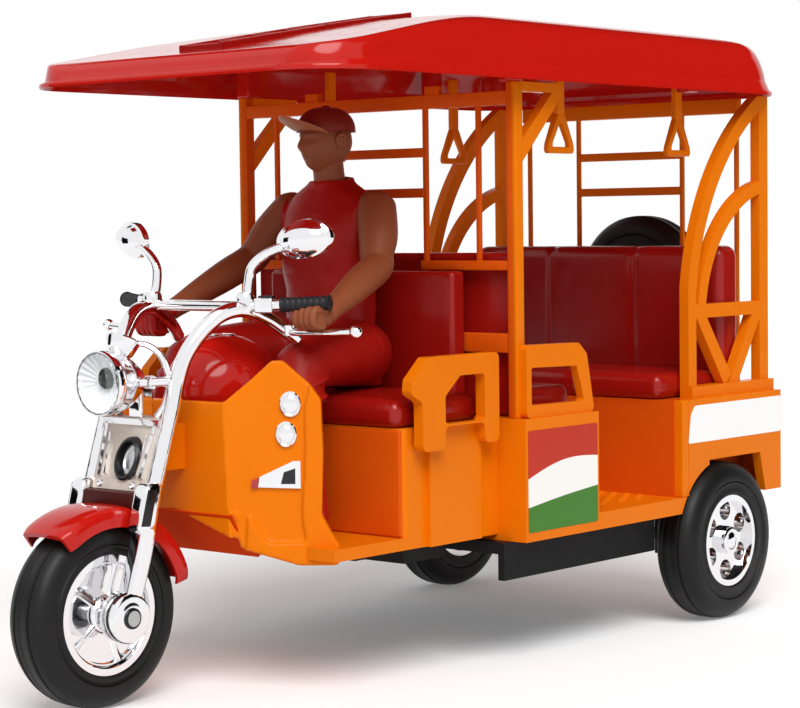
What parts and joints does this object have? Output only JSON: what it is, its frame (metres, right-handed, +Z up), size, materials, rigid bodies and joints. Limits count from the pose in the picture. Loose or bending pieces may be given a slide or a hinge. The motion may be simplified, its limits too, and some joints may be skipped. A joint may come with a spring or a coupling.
{
  "type": "toy electric rickshaw",
  "caption": "Toy passenger rickshaw with a seated driver figure, open lattice cab, canopy roof, facing benches, chrome front fork and freely rolling wheels.",
  "frame": {"origin": "on the ground under the middle of the whole toy", "axes": "+Z up, +Y towards the rear, +X towards the vehicle's left side"},
  "size_m": [0.0896, 0.2056, 0.1367],
  "materials": {
    "orange_plastic": "glossy moulded plastic, orange yellow",
    "red_plastic": "glossy moulded plastic, red",
    "seat_red": "satin moulded plastic, dark red",
    "black_plastic": "satin moulded plastic, black",
    "chrome": "bright vacuum plating on plastic",
    "tyre": "soft black moulding",
    "steel": "drawn steel wire",
    "skin_plastic": "satin moulded plastic, brown",
    "lens": "clear plastic lens"
  },
  "bodies": {
    "body": {"armrest_left": "orange_plastic", "armrest_right": "orange_plastic", "chassis": "black_plastic", "cowl_lamps": "chrome", "driver_arm_left": "skin_plastic", "driver_arm_right": "skin_plastic", "driver_backrest": "seat_red", "driver_cap": "red_plastic", "driver_cushion": "seat_red", "driver_head": "skin_plastic", "driver_platform": "orange_plastic", "driver_shirt": "red_plastic", "driver_trousers": "red_plastic", "fork_left": "chrome", "fork_plate": "chrome", "fork_right": "chrome", "front_axle": "steel", "front_bench_backrest": "seat_red", "front_bench_base": "orange_plastic", "front_bench_cushion": "seat_red", "front_cowl": "orange_plastic", "front_mudguard": "red_plastic", "grab_handles_left": "orange_plastic", "grab_handles_right": "orange_plastic", "grip_left": "black_plastic", "grip_right": "black_plastic", "half_door_left": "orange_plastic", "half_door_right": "orange_plastic", "handlebar": "chrome", "headlamp": "chrome", "headlamp_lens": "lens", "horn": "black_plastic", "lever_left": "chrome", "lever_right": "chrome", "meter": "chrome", "mirror_left": "chrome", "mirror_right": "chrome", "partition_frame": "orange_plastic", "passenger_tub": "orange_plastic", "rear_backrest": "seat_red", "rear_bench_base": "orange_plastic", "rear_bench_cushion": "seat_red", "rear_frame": "orange_plastic", "roof": "red_plastic", "roof_rails": "seat_red", "side_frame_left": "orange_plastic", "side_frame_right": "orange_plastic", "spare_bracket": "orange_plastic", "spare_rim": "chrome", "spare_tyre": "tyre", "steering_head": "orange_plastic", "tank_cover": "red_plastic"},
    "front_wheel": {"front_tyre": "tyre", "front_rim": "chrome"},
    "rear_wheels": {"rear_rim_left": "chrome", "rear_rim_right": "chrome", "rear_tyre_left": "tyre", "rear_tyre_right": "tyre", "rear_axle": "steel"}
  },
  "joints": [
    {"name": "front_wheel_spin", "type": "hinge", "parent": "body", "child": "front_wheel", "pos_m": [0, -0.0848, 0.018], "axis": [1, 0, 0], "continuous": true},
    {"name": "rear_wheels_spin", "type": "hinge", "parent": "body", "child": "rear_wheels", "pos_m": [0, 0.0689, 0.018], "axis": [1, 0, 0], "continuous": true}
  ]
}
